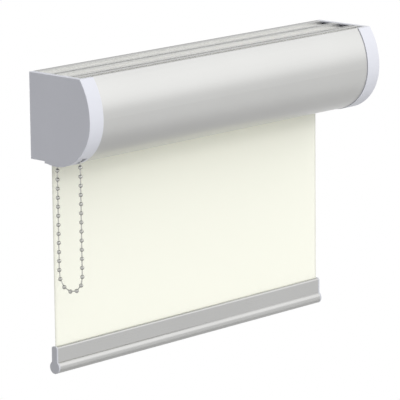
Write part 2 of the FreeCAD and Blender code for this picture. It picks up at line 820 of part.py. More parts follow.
def guard_outline(radius):
    """A round top with two straight legs that lead the chain down."""
    return [
        (f"-({radius})", "-guard_tail"),
        (f"({radius})", "-guard_tail"),
        (f"({radius})", "0"),
        (f"{radius}", ("0", "0"), "left"),
        (f"-({radius})", "0"),
    ]


def make_chain_guard():
    guard = make_body("chain_guard", on_axis=True)
    outer = "guard_radius + guard_wall"
    extrude(guard, "housing", [guard_outline(outer)], *between(LEFT, "profile_start", "guard_end"))
    inside = between(LEFT, "profile_start", "guard_end - guard_wall")
    extrude(guard, "chain_space", [guard_outline("guard_radius")], *inside, cut=True)
    opening = ("circle", ("0", "0"), "sleeve_radius + side_gap")
    wall = between(LEFT, "guard_end - guard_wall", "guard_end")
    extrude(guard, "sleeve_opening", [opening], *wall, cut=True)
    return guard


def make_drive_adapter():
    adapter = make_body("drive_adapter", on_axis=True)
    hub = "sleeve_radius + fit_gap + plug_wall"
    web_end = "tube_start + plug_web"
    bearing_start = "plug_end - plug_web"
    section = [
        (at_end(LEFT, "plug_flange_start"), "sleeve_radius + fit_gap"),
        (at_end(LEFT, "plug_flange_start"), "plug_flange_radius"),
        (at_end(LEFT, "tube_start"), "plug_flange_radius"),
        (at_end(LEFT, "tube_start"), "plug_radius"),
        (at_end(LEFT, "plug_end"), "plug_radius"),
        (at_end(LEFT, "plug_end"), "plug_radius - plug_wall"),
        (at_end(LEFT, web_end), "plug_radius - plug_wall"),
        (at_end(LEFT, web_end), hub),
        (at_end(LEFT, "plug_end"), hub),
        (at_end(LEFT, "plug_end"), "core_radius + running_gap"),
        (at_end(LEFT, bearing_start), "core_radius + running_gap"),
        (at_end(LEFT, bearing_start), "sleeve_radius + fit_gap"),
    ]
    turn(adapter, "crown", section)
    add_plug_ribs(adapter, LEFT, hub)
    cut_key_notch(adapter, LEFT)
    return adapter


def make_coil(label, side, start, end, mean_radius, wire, turns):
    """A close helix of round wire about the roller's axis, between two depths."""
    near, far = sorted((value(at_end(side, start)), value(at_end(side, end))))
    radius = value(mean_radius)
    thickness = value(wire)
    height = far - near - thickness
    path = Part.makeHelix(height / value(turns), height, radius)
    centre = FreeCAD.Vector(radius, 0, 0)
    section = Part.Wire(Part.makeCircle(thickness / 2, centre, FreeCAD.Vector(0, 1, 0)))
    shape = Part.Wire(path).makePipeShell([section], True, True)
    coil = doc.addObject("Part::Feature", label)
    coil.Shape = shape
    turned = FreeCAD.Rotation(FreeCAD.Vector(0, 1, 0), 90)
    place = FreeCAD.Vector(near + thickness / 2, value("-axis_reach"), value("axis_level"))
    coil.Placement = FreeCAD.Placement(place, turned)
    return coil


def make_core_clip():
    clip = make_body("core_clip", on_axis=True)
    inner = "core_radius - clip_depth + fit_gap"
    ring = [("circle", ("0", "0"), "core_radius + clip_depth"), ("circle", ("0", "0"), inner)]
    start = "clip_start + side_gap / 2"
    extrude(clip, "ring", ring, *between(LEFT, start, f"{start} + clip_width"))
    gap = rectangle(("-clip_mouth / 2", "-core_radius - clip_depth * 2"), ("clip_mouth / 2", "0"))
    extrude(clip, "mouth", [gap], *between(LEFT, start, f"{start} + clip_width"), cut=True)
    return clip


# Ball chain. Steel balls on short wire links run over the wheel, down the front of the loop, round
# its free lower bend and up the back. Each ball has a flat where its link comes out.


def chain_point(place):
    """The middle of a ball, by its place along the loop in pitches from the front of the wheel."""
    radius = value("pitch_radius")
    pitch = value("ball_pitch")
    pockets = value("wheel_pockets")
    strand = value("strand_pitches")
    bend = pockets / 2
    axis = FreeCAD.Vector(value(at_end(LEFT, "chain_depth")), value("-axis_reach"), value("axis_level"))
    place = place % (2 * strand + 2 * bend)
    if place < strand:
        return axis + FreeCAD.Vector(0, -radius, -place * pitch)
    if place < strand + bend:
        angle = (place - strand) * 2 * math.pi / pockets
        return axis + FreeCAD.Vector(0, -radius * math.cos(angle), -strand * pitch - radius * math.sin(angle))
    if place < 2 * strand + bend:
        return axis + FreeCAD.Vector(0, radius, (place - 2 * strand - bend) * pitch)
    angle = (place - 2 * strand - bend) * 2 * math.pi / pockets
    return axis + FreeCAD.Vector(0, radius * math.cos(angle), radius * math.sin(angle))


def make_chain():
    count = round(2 * value("strand_pitches") + value("wheel_pockets"))
    radius = value("ball_radius")
    link_radius = value("link_radius")
    flat = math.sqrt(radius**2 - link_radius**2)
    middles = [chain_point(number + value("chain_phase")) for number in range(count)]
    balls = []
    links = []
    for number, middle in enumerate(middles):
        after = middles[(number + 1) % count]
        before = middles[number - 1]
        forward = (after - middle).normalize()
        backward = (before - middle).normalize()
        ball = Part.makeSphere(radius, middle, forward)
        for way in (forward, backward):
            ball = ball.cut(Part.makeCylinder(2 * link_radius, radius, middle + way * flat, way))
        balls.append(ball)
        length = (after - middle).Length - 2 * flat
        links.append(Part.makeCylinder(link_radius, length, middle + forward * flat, forward))
    nodes = []
    for label, shapes in (("chain_balls", balls), ("chain_links", links)):
        node = doc.addObject("Part::Feature", label)
        node.Shape = Part.makeCompound(shapes)
        nodes.append(node)
    return nodes


# Idler at the right end: a plug in the tube, and a sprung pin that rides in the bracket's bush


def make_idler_plug():
    plug = make_body("idler_plug", on_axis=True)
    hub = "chamber_radius + hub_wall"
    web_end = "tube_start + plug_web"
    section = [
        (at_end(RIGHT, "plug_flange_start"), "pin_radius + running_gap"),
        (at_end(RIGHT, "plug_flange_start"), "plug_flange_radius"),
        (at_end(RIGHT, "tube_start"), "plug_flange_radius"),
        (at_end(RIGHT, "tube_start"), "plug_radius"),
        (at_end(RIGHT, "plug_end"), "plug_radius"),
        (at_end(RIGHT, "plug_end"), "plug_radius - plug_wall"),
        (at_end(RIGHT, web_end), "plug_radius - plug_wall"),
        (at_end(RIGHT, web_end), hub),
        (at_end(RIGHT, "plug_end"), hub),
        (at_end(RIGHT, "plug_end"), "chamber_radius"),
        (at_end(RIGHT, "chamber_start"), "chamber_radius"),
        (at_end(RIGHT, "chamber_start"), "pin_radius + running_gap"),
    ]
    turn(plug, "crown", section)
    add_plug_ribs(plug, RIGHT, hub)
    cut_key_notch(plug, RIGHT)
    return plug


def make_idler_pin():
    pin = make_body("idler_pin", on_axis=True)
    tail = "pin_radius - pin_wire"
    section = [
        (at_end(RIGHT, "pin_tip"), "0"),
        (at_end(RIGHT, "pin_tip"), "pin_radius - pin_wire / 2"),
        (at_end(RIGHT, "pin_tip + pin_wire / 2"), "pin_radius"),
        (at_end(RIGHT, "collar_start"), "pin_radius"),
        (at_end(RIGHT, "collar_start"), "chamber_radius - side_gap"),
        (at_end(RIGHT, "collar_end"), "chamber_radius - side_gap"),
        (at_end(RIGHT, "collar_end"), tail),
        (at_end(RIGHT, "collar_end + pin_tail"), tail),
        (at_end(RIGHT, "collar_end + pin_tail"), "0"),
    ]
    turn(pin, "pin_and_collar", section)
    return pin


def make_spring_seat():
    seat = make_body("spring_seat", on_axis=True)
    disc = [("circle", ("0", "0"), "chamber_radius - fit_gap")]
    extrude(seat, "disc", disc, *between(RIGHT, "seat_start", "plug_end"))
    return seat


def make_idler_bush():
    bush = make_body("idler_bush", on_axis=True)
    section = [
        (at_end(RIGHT, "bracket_start"), "pin_radius + running_gap"),
        (at_end(RIGHT, "bracket_start"), "bush_radius"),
        (at_end(RIGHT, "profile_start"), "bush_radius"),
        (at_end(RIGHT, "profile_start"), "bush_radius + bush_wall"),
        (at_end(RIGHT, "profile_start + bush_flange"), "bush_radius + bush_wall"),
        (at_end(RIGHT, "profile_start + bush_flange"), "pin_radius + running_gap"),
    ]
    turn(bush, "flanged_bush", section)
    return bush


# Cloth and bottom bar


def make_fabric_drop():
    drop = make_body("fabric_drop")
    foot = "bar_top - bar_wall - fit_gap - strip_height + cloth"
    sheet = rectangle(("-cloth_plane - cloth / 2", foot), ("-cloth_plane + cloth / 2", "axis_level"))
    extrude(drop, "hanging_cloth", [sheet], at_end(LEFT, "cloth_start"), at_end(RIGHT, "cloth_start"))
    return drop


def bar_outline(mouth):
    """The keyhole shape of the bottom bar, closed on top or with the cloth's mouth and cavity."""
    half = "bar_thickness / 2"
    junction = "bulb_level + sqrt(bar_bulb_radius^2 - (bar_thickness / 2)^2)"
    corner = "bar_top - bar_corner"
    outline = [
        (f"-cloth_plane - {half} + bar_corner", "bar_top"),
        ("bar_corner", (f"-cloth_plane - {half} + bar_corner", corner), "left"),
        (f"-cloth_plane - {half}", corner),
        (f"-cloth_plane - {half}", junction),
        ("bar_bulb_radius", ("-cloth_plane", "bulb_level"), "left"),
        (f"-cloth_plane + {half}", junction),
        (f"-cloth_plane + {half}", corner),
        ("bar_corner", (f"-cloth_plane + {half} - bar_corner", corner), "left"),
        (f"-cloth_plane + {half} - bar_corner", "bar_top"),
    ]
    if mouth:
        lip = "bar_top - bar_wall"
        inner = f"{half} - bar_wall"
        floor = "bar_top - bar_wall - bar_cavity"
        outline += [
            ("-cloth_plane + bar_mouth / 2", "bar_top"),
            ("-cloth_plane + bar_mouth / 2", lip),
            (f"-cloth_plane + {inner}", lip),
            (f"-cloth_plane + {inner}", floor),
            (f"-cloth_plane - ({inner})", floor),
            (f"-cloth_plane - ({inner})", lip),
            ("-cloth_plane - bar_mouth / 2", lip),
            ("-cloth_plane - bar_mouth / 2", "bar_top"),
        ]
    return outline


def make_bar_profile():
    bar = make_body("bar_profile")
    bore = ("circle", ("-cloth_plane", "bulb_level"), "bar_bulb_radius - bar_wall")
    ends = (at_end(LEFT, "cloth_start"), at_end(RIGHT, "cloth_start"))
    extrude(bar, "extrusion", [bar_outline(mouth=True), bore], *ends)
    return bar


def make_bar_cap(side):
    cap = make_body(f"bar_cap_{side}")
    extrude(cap, "plate", [bar_outline(mouth=False)], *between(side, "cloth_start - bar_cap", "cloth_start"))
    spigot = ("circle", ("-cloth_plane", "bulb_level"), "bar_bulb_radius - bar_wall - fit_gap")
    extrude(cap, "spigot", [spigot], *between(side, "cloth_start", "cloth_start + bar_spigot"))
    return cap


def make_bar_strip():
    strip = make_body("bar_strip")
    upper = "bar_top - bar_wall - fit_gap"
    lower = f"{upper} - strip_height"
    half = "bar_thickness / 2 - bar_wall - fit_gap"
    slot = "cloth / 2 + strip_slot_clearance"
    section = [
        (f"-cloth_plane - ({half})", lower),
        (f"-cloth_plane + {half}", lower),
        (f"-cloth_plane + {half}", upper),
        (f"-cloth_plane + {slot}", upper),
        (f"-cloth_plane + {slot}", f"{lower} + cloth - strip_slot_clearance"),
        (f"-cloth_plane - ({slot})", f"{lower} + cloth - strip_slot_clearance"),
        (f"-cloth_plane - ({slot})", upper),
        (f"-cloth_plane - ({half})", upper),
    ]
    extrude(strip, "strip", [section], at_end(LEFT, "cloth_start"), at_end(RIGHT, "cloth_start"))
    return strip


wrap_radius = "core_radius + fit_gap + wrap_wire / 2"
pin_spring_radius = "pin_radius + pin_wire / 2"

nodes = [
    make_mounting_profile(),
    make_fascia(),
    make_end_cap(LEFT),
    make_end_cap(RIGHT),
    make_bracket(LEFT),
    make_bracket(RIGHT),
    make_bracket_screws(),
    make_tube(),
    make_tube_spline(),
    make_fabric_roll(),
    make_clutch_body(),
    make_chain_wheel(),
    make_chain_guard(),
    make_drive_adapter(),
    make_coil("wrap_spring", LEFT, "sleeve_end + side_gap", "plug_end - plug_web - side_gap",
              wrap_radius, "wrap_wire", "wrap_turns"),
    make_core_clip(),
    *make_chain(),
    make_idler_plug(),
    make_idler_pin(),
    make_coil("idler_spring", RIGHT, "collar_end + side_gap", "seat_start - side_gap",
              pin_spring_radius, "pin_wire", "pin_spring_turns"),
    make_spring_seat(),
    make_idler_bush(),
    make_fabric_drop(),
    make_bar_profile(),
    make_bar_cap(LEFT),
    make_bar_cap(RIGHT),
    make_bar_strip(),
]
doc.recompute()

ADDING = ("PartDesign::Pad", "PartDesign::Revolution")
CUTTING = ("PartDesign::Pocket", "PartDesign::SubtractiveSphere", "PartDesign::PolarPattern")


def check_features(body):
    """Every pad has to add material and every cut has to take some away."""
    before = 0.0
    for feature in body.Group:
        if feature.TypeId in ADDING and not feature.Shape.Volume > before:
            raise RuntimeError(f"{body.Label}: {feature.Label} adds nothing")
        if feature.TypeId in CUTTING and not feature.Shape.Volume < before:
            raise RuntimeError(f"{body.Label}: {feature.Label} cuts nothing")
        if feature.isDerivedFrom("PartDesign::Feature"):
            before = feature.Shape.Volume


for item in doc.Objects:
    if "Invalid" in item.State or "Error" in item.State:
        raise RuntimeError(f"{item.Label} is {item.State}")

for node in nodes:
    if node.isDerivedFrom("PartDesign::Body"):
        check_features(node)
    if node.Shape.isNull() or not node.Shape.isValid():
        raise RuntimeError(f"{node.Label} has no valid shape")

for node in nodes:
    node.Shape.exportStep(f"parts/{node.Label}.step")
    print(f"{node.Label}: {len(node.Shape.Solids)} solids, {node.Shape.Volume / 1000:.3f} cm3")
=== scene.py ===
import math

import bmesh
import bpy
from mathutils import Matrix, Vector


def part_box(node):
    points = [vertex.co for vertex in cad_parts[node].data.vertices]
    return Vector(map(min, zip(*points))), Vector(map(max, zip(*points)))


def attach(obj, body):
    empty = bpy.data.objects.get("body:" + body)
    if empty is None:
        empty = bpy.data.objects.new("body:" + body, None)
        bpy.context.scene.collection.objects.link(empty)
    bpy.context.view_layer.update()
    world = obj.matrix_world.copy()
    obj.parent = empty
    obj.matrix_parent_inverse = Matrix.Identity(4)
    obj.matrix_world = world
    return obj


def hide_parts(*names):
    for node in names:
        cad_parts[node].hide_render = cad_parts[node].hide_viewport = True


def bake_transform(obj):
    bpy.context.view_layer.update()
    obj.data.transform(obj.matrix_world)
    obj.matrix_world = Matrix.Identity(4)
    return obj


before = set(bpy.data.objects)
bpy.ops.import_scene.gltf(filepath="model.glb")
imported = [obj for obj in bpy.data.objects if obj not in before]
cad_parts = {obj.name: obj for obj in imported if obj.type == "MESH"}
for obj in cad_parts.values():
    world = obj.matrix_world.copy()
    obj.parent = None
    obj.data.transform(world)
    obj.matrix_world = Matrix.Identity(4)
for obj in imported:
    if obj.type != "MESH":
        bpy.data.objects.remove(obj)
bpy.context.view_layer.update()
scene = bpy.context.scene

# View. A long lens looks down at the blind's chain end from the front left, as in a catalogue
# picture. The picture is square and the blind fills most of it.

VIEW_YAW = math.radians(46.343)      # from straight at the wall, turned to the right
VIEW_PITCH = math.radians(-12.065)   # downwards
VIEW_ROLL = math.radians(-0.590)
VIEW_PLACE = Vector((-2.41518, -2.32996, 0.56727))
SENSOR_WIDTH = 36.0
LENS_LENGTH = 286.49
NEAREST_SEEN = 0.1
FARTHEST_SEEN = 60.0


def show(name, content):
    """Puts a camera, a lamp or a mesh into the scene."""
    shown = bpy.data.objects.new(name, content)
    scene.collection.objects.link(shown)
    return shown


def make_camera():
    optics = bpy.data.cameras.new("camera")
    optics.sensor_width = SENSOR_WIDTH
    optics.lens = LENS_LENGTH
    optics.clip_start = NEAREST_SEEN
    optics.clip_end = FARTHEST_SEEN
    camera = show("camera", optics)
    forward = Vector((
        math.sin(VIEW_YAW) * math.cos(VIEW_PITCH),
        math.cos(VIEW_YAW) * math.cos(VIEW_PITCH),
        math.sin(VIEW_PITCH),
    ))
    level_right = Vector((math.cos(VIEW_YAW), -math.sin(VIEW_YAW), 0.0))
    level_up = level_right.cross(forward)
    right = math.cos(VIEW_ROLL) * level_right + math.sin(VIEW_ROLL) * level_up
    up = math.cos(VIEW_ROLL) * level_up - math.sin(VIEW_ROLL) * level_right
    turned = Matrix((right, up, -forward)).transposed().to_4x4()
    camera.matrix_world = Matrix.Translation(VIEW_PLACE) @ turned
    scene.camera = camera


make_camera()

# Studio. The pale floor lies well below the lowest place of the bottom bar and fades out towards
# its edge. Most of the soft light comes from the front. One large lamp stands at the front right,
# a small one in front puts a spark on bright metal, and one behind lights the wall side.

FLOOR_LEVEL = -1.45
FLOOR_RADIUS = 2.6
FLOOR_FADE = 1.3         # from the middle to where the floor begins to fade
FLOOR_EDGES = 96
FLOOR_GREY = (0.70, 0.70, 0.70)
FLOOR_ROUGHNESS = 0.9
WHITE = (1.0, 1.0, 1.0, 1.0)
AIR_SIDES = {
    "left": ((-1, 0, 0), 0.17),
    "front": ((0, -0.9, 0.436), 1.27),
    "above": ((0, 0, 1), 0.50),
}
LAMPS = {
    "large_lamp": {"place": (1.9, -2.05, 1.45), "size": 3.0, "power": 12.8},
    "small_lamp": {"place": (0.4, -2.55, 1.40), "size": 0.5, "power": 6.0},
    "rear_lamp": {"place": (0.5, 2.3, -0.9), "size": 2.0, "power": 18.0},
}


def add_node(tree, kind, inputs=(), **settings):
    """Adds a node with its settings and with values for the sockets that are named."""
    made = tree.nodes.new(kind)
    for name, setting in settings.items():
        setattr(made, name, setting)
    for name, content in dict(inputs).items():
        made.inputs[name].default_value = content
    return made


def wire(tree, source, output, target, socket):
    tree.links.new(source.outputs[output], target.inputs[socket])


def new_material(name):
    """A new material, with its node tree and its surface shader."""
    material = bpy.data.materials.new(name)
    material.use_nodes = True
    tree = material.node_tree
    return material, tree, tree.nodes["Principled BSDF"]


def keep_mesh(shape, name):
    """Turns a finished shape into a mesh."""
    mesh = bpy.data.meshes.new(name)
    shape.to_mesh(mesh)
    shape.free()
    return mesh


def make_floor():
    disc = bmesh.new()
    bmesh.ops.create_circle(disc, cap_ends=True, segments=FLOOR_EDGES, radius=FLOOR_RADIUS)
    bmesh.ops.translate(disc, verts=disc.verts, vec=(0.0, 0.0, FLOOR_LEVEL))
    floor = show("floor", keep_mesh(disc, "floor"))
    paint, tree, surface = new_material("floor_paint")
    surface.inputs["Base Color"].default_value = (*FLOOR_GREY, 1.0)
    surface.inputs["Roughness"].default_value = FLOOR_ROUGHNESS
    place = add_node(tree, "ShaderNodeTexCoord")
    centred = add_node(tree, "ShaderNodeMapping", {"Location": (0.0, 0.0, -FLOOR_LEVEL)})
    wire(tree, place, "Object", centred, "Vector")
    reach = add_node(tree, "ShaderNodeVectorMath", operation="LENGTH")
    wire(tree, centred, "Vector", reach, 0)
    fade = add_node(tree, "ShaderNodeMapRange", {
        "From Min": FLOOR_FADE, "From Max": FLOOR_RADIUS, "To Min": 1.0, "To Max": 0.0})
    wire(tree, reach, "Value", fade, "Value")
    wire(tree, fade, "Result", surface, "Alpha")
    floor.data.materials.append(paint)


def make_air():
    """Plain white where it is seen, straight on or in a reflection, and soft light elsewhere."""
    world = bpy.data.worlds.new("studio")
    scene.world = world
    world.use_nodes = True
    tree = world.node_tree
    tree.nodes.clear()
    path = add_node(tree, "ShaderNodeLightPath")
    direction = add_node(tree, "ShaderNodeTexCoord")
    light = add_node(tree, "ShaderNodeBackground", {"Color": WHITE})
    total = None
    for side, level in AIR_SIDES.values():
        along = add_node(tree, "ShaderNodeVectorMath", {1: side}, operation="DOT_PRODUCT")
        wire(tree, direction, "Generated", along, 0)
        ahead = add_node(tree, "ShaderNodeMath", {1: 0.0}, operation="MAXIMUM")
        wire(tree, along, "Value", ahead, 0)
        share = add_node(tree, "ShaderNodeMath", {1: level, 2: 0.0}, operation="MULTIPLY_ADD")
        wire(tree, ahead, "Value", share, 0)
        if total is not None:
            wire(tree, total, "Value", share, 2)
        total = share
    wire(tree, total, "Value", light, "Strength")
    white = add_node(tree, "ShaderNodeBackground", {"Color": WHITE, "Strength": 1.0})
    mirrored = add_node(tree, "ShaderNodeMath", operation="MAXIMUM")
    wire(tree, path, "Is Glossy Ray", mirrored, 0)
    wire(tree, path, "Is Transmission Ray", mirrored, 1)
    seen = add_node(tree, "ShaderNodeMath", operation="MAXIMUM")
    wire(tree, path, "Is Camera Ray", seen, 0)
    wire(tree, mirrored, "Value", seen, 1)
    choice = add_node(tree, "ShaderNodeMixShader")
    wire(tree, seen, "Value", choice, 0)
    wire(tree, light, 0, choice, 1)
    wire(tree, white, 0, choice, 2)
    output = add_node(tree, "ShaderNodeOutputWorld")
    wire(tree, choice, 0, output, "Surface")


def make_lamp(name, place, size, power):
    """A round lamp that faces the blind."""
    light = bpy.data.lights.new(name, "AREA")
    light.shape = "DISK"
    light.size = size
    light.energy = power
    lamp = show(name, light)
    lamp.location = place
    lamp.rotation_mode = "QUATERNION"
    lamp.rotation_quaternion = (-Vector(place)).to_track_quat("-Z", "Y")


make_floor()
make_air()
for lamp_name, lamp_values in LAMPS.items():
    make_lamp(lamp_name, **lamp_values)
scene.view_settings.view_transform = "Standard"

# Mounting profile. One long extrusion of aluminium with a satin anodised skin. Fine die lines run
# along it. The faces that look up carry painted shade, the lands a little more than the channel
# floors, so the channel walls read lighter: painted light. A band of painted shade runs along the rear
# edge and the rear wall.

# Pale enough that the channel walls, which keep this colour, read lighter than the lands: painted light.
PAINTED_LIGHT_SKIN = (0.900, 0.900, 0.880)
SKIN_ROUGHNESS = 0.34
LINE_DEPTH = 0.000008
DIE_LINES = (5.0, 1500.0, 1500.0)     # per metre along, across and up
LINE_PATTERN = {"Scale": 1.0, "Detail": 3.0, "Roughness": 0.6}
LINE_STRENGTH = 0.3
LINE_GLOSS = 0.03        # how far the lines move the roughness either way
CLOUD_PATTERN = {"Scale": 9.0, "Detail": 2.0}
CLOUD_SHADE = 0.97
SKIN_SPAN = (0.3, 0.7)
# Painted shade: these shares darken the faces that look up and a band along the rear wall.
CHANNEL_FLOOR_PAINTED_SHADE = 0.55     # of the skin's brightness, left on the channel floors
LAND_PAINTED_SHADE = 0.52
REAR_PAINTED_SHADE = 0.62
LAND_LEVELS = (0.0185, 0.0198)        # heights between the channel floors and the lands
REAR_DEPTHS = (-0.0040, -0.0032)      # depths between which the rear wall begins
UPWARD = 0.9             # a face looks up where its normal rises by more than this


def add_tint(tree, source, output, surface, dark, light, span=(0.0, 1.0)):
    """Takes the surface's colour from dark to light as a pattern rises through its span."""
    tint = add_node(tree, "ShaderNodeValToRGB")
    for stop, position, colour in zip(tint.color_ramp.elements, span, (dark, light)):
        stop.position = position
        stop.color = (*colour, 1.0)
    wire(tree, source, output, tint, "Fac")
    wire(tree, tint, "Color", surface, "Base Color")


def add_polish(tree, source, output, surface, roughness, spread, span=(0.0, 1.0)):
    """Moves the surface's roughness up and down by the spread as a pattern rises through its span."""
    polish = add_node(tree, "ShaderNodeMapRange", {
        "From Min": span[0], "From Max": span[1],
        "To Min": roughness - spread, "To Max": roughness + spread})
    wire(tree, source, output, polish, "Value")
    wire(tree, polish, "Result", surface, "Roughness")


def add_relief(tree, source, output, surface, strength, depth):
    """Lets a pattern stand proud of the surface."""
    relief = add_node(tree, "ShaderNodeBump", {"Strength": strength, "Distance": depth})
    wire(tree, source, output, relief, "Height")
    wire(tree, relief, "Normal", surface, "Normal")


def shaded(colour, share):
    return tuple(share * part for part in colour)


def make_aluminium(name, colour, roughness=SKIN_ROUGHNESS, line_depth=LINE_DEPTH):
    """Extruded aluminium: faint die lines along the length, with a slightly uneven skin."""
    material, tree, surface = new_material(name)
    surface.inputs["Metallic"].default_value = 1.0
    place = add_node(tree, "ShaderNodeTexCoord")
    drawn = add_node(tree, "ShaderNodeMapping", {"Scale": DIE_LINES})
    wire(tree, place, "Object", drawn, "Vector")
    lines = add_node(tree, "ShaderNodeTexNoise", LINE_PATTERN)
    wire(tree, drawn, "Vector", lines, "Vector")
    cloud = add_node(tree, "ShaderNodeTexNoise", CLOUD_PATTERN)
    wire(tree, place, "Object", cloud, "Vector")
    add_tint(tree, cloud, "Fac", surface, shaded(colour, CLOUD_SHADE), colour, SKIN_SPAN)
    add_polish(tree, lines, "Fac", surface, roughness, LINE_GLOSS, SKIN_SPAN)
    add_relief(tree, lines, "Fac", surface, LINE_STRENGTH, line_depth)
    return material


def finish_nodes(material, *names):
    """Gives these pieces the finish in place of their plain one."""
    for name in names:
        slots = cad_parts[name].data.materials
        for number in range(len(slots)):
            slots[number] = material


def paint_shade_on_tops(material):
    """Paints shade on the faces that look up, the lands more than the channel floors, and a band of
    painted shade along the rear wall.
    """
    tree = material.node_tree
    surface = tree.nodes["Principled BSDF"]
    place = add_node(tree, "ShaderNodeTexCoord")
    parts = add_node(tree, "ShaderNodeSeparateXYZ")
    wire(tree, place, "Object", parts, "Vector")
    facing = add_node(tree, "ShaderNodeSeparateXYZ")
    wire(tree, place, "Normal", facing, "Vector")
    looks_up = add_node(tree, "ShaderNodeMath", {1: UPWARD}, operation="GREATER_THAN")
    wire(tree, facing, "Z", looks_up, 0)
    top = add_node(tree, "ShaderNodeMapRange", {
        "From Min": LAND_LEVELS[0], "From Max": LAND_LEVELS[1],
        "To Min": CHANNEL_FLOOR_PAINTED_SHADE, "To Max": LAND_PAINTED_SHADE})
    wire(tree, parts, "Z", top, "Value")
    level = add_node(tree, "ShaderNodeMix", {"A": 1.0})
    wire(tree, looks_up, "Value", level, "Factor")
    wire(tree, top, "Result", level, "B")
    rear = add_node(tree, "ShaderNodeMapRange", {
        "From Min": REAR_DEPTHS[0], "From Max": REAR_DEPTHS[1], "To Min": 1.0, "To Max": REAR_PAINTED_SHADE})
    wire(tree, parts, "Y", rear, "Value")
    share = add_node(tree, "ShaderNodeMath", operation="MULTIPLY")
    wire(tree, level, "Result", share, 0)
    wire(tree, rear, "Result", share, 1)
    # Painted shade: the skin's colour is scaled down on the faces that look up and along the rear wall.
    painted_shade = add_node(tree, "ShaderNodeVectorMath", operation="SCALE")
    tree.links.new(surface.inputs["Base Color"].links[0].from_socket, painted_shade.inputs[0])
    wire(tree, share, "Value", painted_shade, "Scale")
    wire(tree, painted_shade, "Vector", surface, "Base Color")
    return material


finish_nodes(paint_shade_on_tops(make_aluminium("profile_skin", PAINTED_LIGHT_SKIN)), "mounting_profile")

# End brackets and their screws. Pressed from zinc plated steel sheet, they carry the roller's two
# ends. Self-tapping screws hold each to the profile's ports.

ZINC_LIGHT = (0.66, 0.67, 0.69)
ZINC_DARK = (0.50, 0.51, 0.54)
ZINC_ROUGHNESS = 0.35
ZINC_GLOSS = 0.07
SPANGLES_PER_METRE = 220.0


def make_zinc(name):
    """Zinc plating: a bluish grey skin of small spangles, each a little lighter or duller."""
    material, tree, surface = new_material(name)
    surface.inputs["Metallic"].default_value = 1.0
    place = add_node(tree, "ShaderNodeTexCoord")
    spangle = add_node(tree, "ShaderNodeTexVoronoi", {"Scale": SPANGLES_PER_METRE})
    wire(tree, place, "Object", spangle, "Vector")
    grey = add_node(tree, "ShaderNodeSeparateColor")
    wire(tree, spangle, "Color", grey, "Color")
    add_tint(tree, grey, "Red", surface, ZINC_DARK, ZINC_LIGHT)
    add_polish(tree, grey, "Green", surface, ZINC_ROUGHNESS, ZINC_GLOSS)
    return material


zinc = make_zinc("zinc_plate")
finish_nodes(zinc, "bracket_left", "bracket_right", "bracket_screws")

# Fascia. A thin curved extrusion with the same anodised skin hooks over the profile's front lip.
# It covers the roller from the top round to the underside.

ANODISED = (0.550, 0.550, 0.540)

finish_nodes(make_aluminium("anodised_skin", ANODISED), "fascia")

# End caps. Moulded in light grey plastic with a fine spark-eroded grain, they plug on to the
# brackets with two pegs each, and the fascia runs up to their rims.

CAP_COLOUR = (0.675, 0.685, 0.740)
CAP_ROUGHNESS = 0.5
CAP_SHINE = 0.25
GRAIN_PATTERN = {"Scale": 2600.0, "Detail": 1.0}
GRAIN_SPAN = (0.35, 0.65)
GRAIN_GLOSS = 0.04
GRAIN_STRENGTH = 0.25
GRAIN_DEPTH = 0.00002
FLOW_PATTERN = {"Scale": 12.0, "Detail": 2.0, "Distortion": 0.6}
FLOW_SPAN = (0.3, 0.7)
FLOW_SHADE = 0.975


def make_moulded(name, colour, roughness, grain_depth=GRAIN_DEPTH):
    """Moulded plastic: a fine even grain and a trace of flow in its colour."""
    material, tree, surface = new_material(name)
    place = add_node(tree, "ShaderNodeTexCoord")
    pits = add_node(tree, "ShaderNodeTexNoise", GRAIN_PATTERN)
    wire(tree, place, "Object", pits, "Vector")
    flow = add_node(tree, "ShaderNodeTexNoise", FLOW_PATTERN)
    wire(tree, place, "Object", flow, "Vector")
    add_tint(tree, flow, "Fac", surface, shaded(colour, FLOW_SHADE), colour, FLOW_SPAN)
    add_polish(tree, pits, "Fac", surface, roughness, GRAIN_GLOSS, GRAIN_SPAN)
    add_relief(tree, pits, "Fac", surface, GRAIN_STRENGTH, grain_depth)
    return material


def set_surface(material, socket, content):
    """Sets a value that is the same all over on the material's own shader."""
    material.node_tree.nodes["Principled BSDF"].inputs[socket].default_value = content


cap_plastic = make_moulded("cap_moulding", CAP_COLOUR, CAP_ROUGHNESS)
set_surface(cap_plastic, "Specular IOR Level", CAP_SHINE)
finish_nodes(cap_plastic, "end_cap_left", "end_cap_right")

# Roller tube. Extruded aluminium, left as it comes from the mill, with a slotted key along its
# inside. A clear plastic strip wedges the cloth's edge into that key.

MILL = (0.70, 0.71, 0.72)
MILL_ROUGHNESS = 0.30
MILL_LINE_DEPTH = 0.000012
MILKY = (0.83, 0.84, 0.84)
STRIP_ROUGHNESS = 0.25
STRIP_GRAIN_DEPTH = 0.000004
STRIP_CLEARNESS = 0.55

finish_nodes(make_aluminium("mill_skin", MILL, MILL_ROUGHNESS, MILL_LINE_DEPTH), "tube")
clear_strip = make_moulded("clear_strip", MILKY, STRIP_ROUGHNESS, STRIP_GRAIN_DEPTH)
set_surface(clear_strip, "Transmission Weight", STRIP_CLEARNESS)
finish_nodes(clear_strip, "tube_spline")

# Wound cloth. The cloth is one long sheet of cream polyester, plain woven. Most of it lies in
# tight turns on the tube, outermost turn last.

CLOTH_LIGHT = (0.895, 0.898, 0.797)
